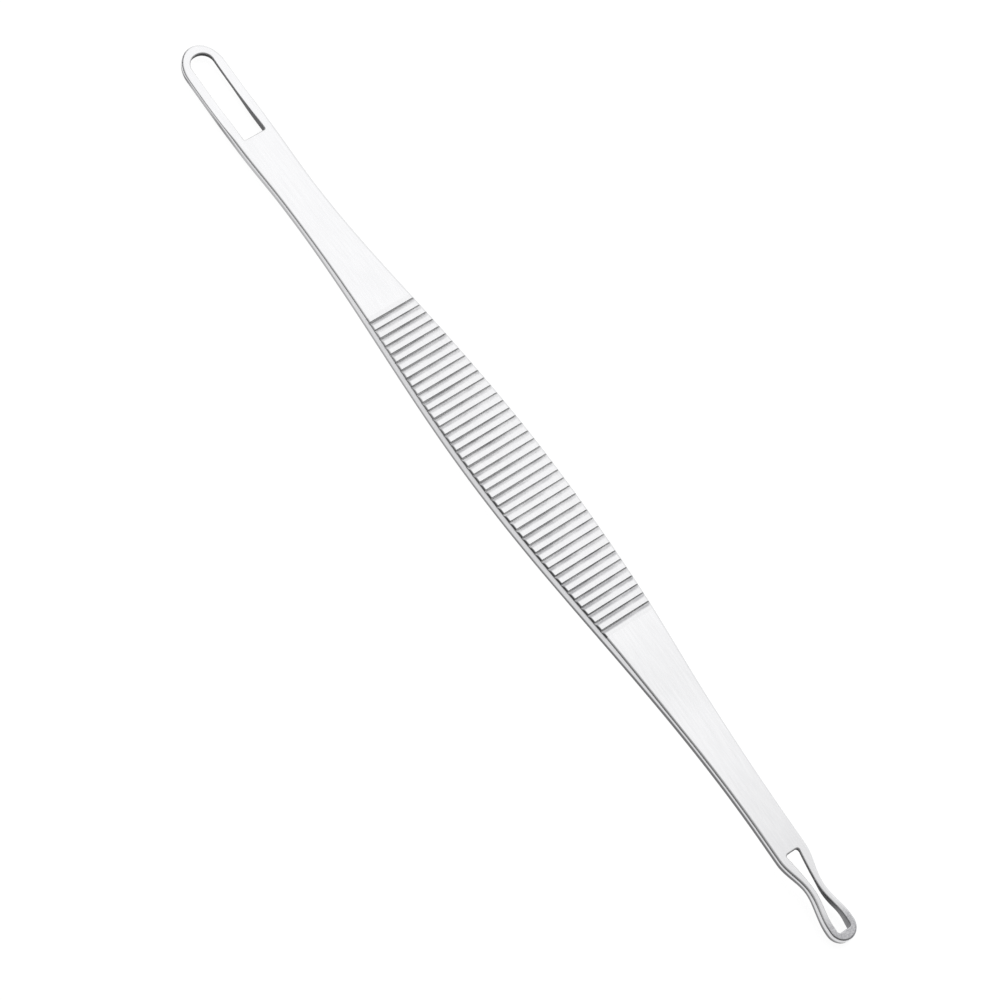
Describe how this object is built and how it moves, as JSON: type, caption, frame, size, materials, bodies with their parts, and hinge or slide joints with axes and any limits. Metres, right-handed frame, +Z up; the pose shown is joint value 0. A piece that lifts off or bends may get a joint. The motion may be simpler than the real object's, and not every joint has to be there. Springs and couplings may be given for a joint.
{
  "type": "comedone extractor",
  "caption": "Slim double-ended steel skin tool: a long open loop, a belly-shaped grip with cross grooves, and a small waisted loop.",
  "frame": {"origin": "centre of the bounding box in X and Y, on the surface that the tool lies on", "axes": "+X along the tool towards the small waisted loop, +Z up out of the grooved face, +Y across the tool"},
  "size_m": [0.089, 0.0062, 0.0032],
  "materials": {
    "polished_steel": "fine satin polish on stainless steel",
    "grooved_steel": "satin stainless steel with milled cross grooves"
  },
  "bodies": {
    "root": {"big_loop": "polished_steel", "big_neck": "polished_steel", "ribbed_grip": "grooved_steel", "small_neck": "polished_steel", "small_loop": "polished_steel"}
  },
  "joints": []
}
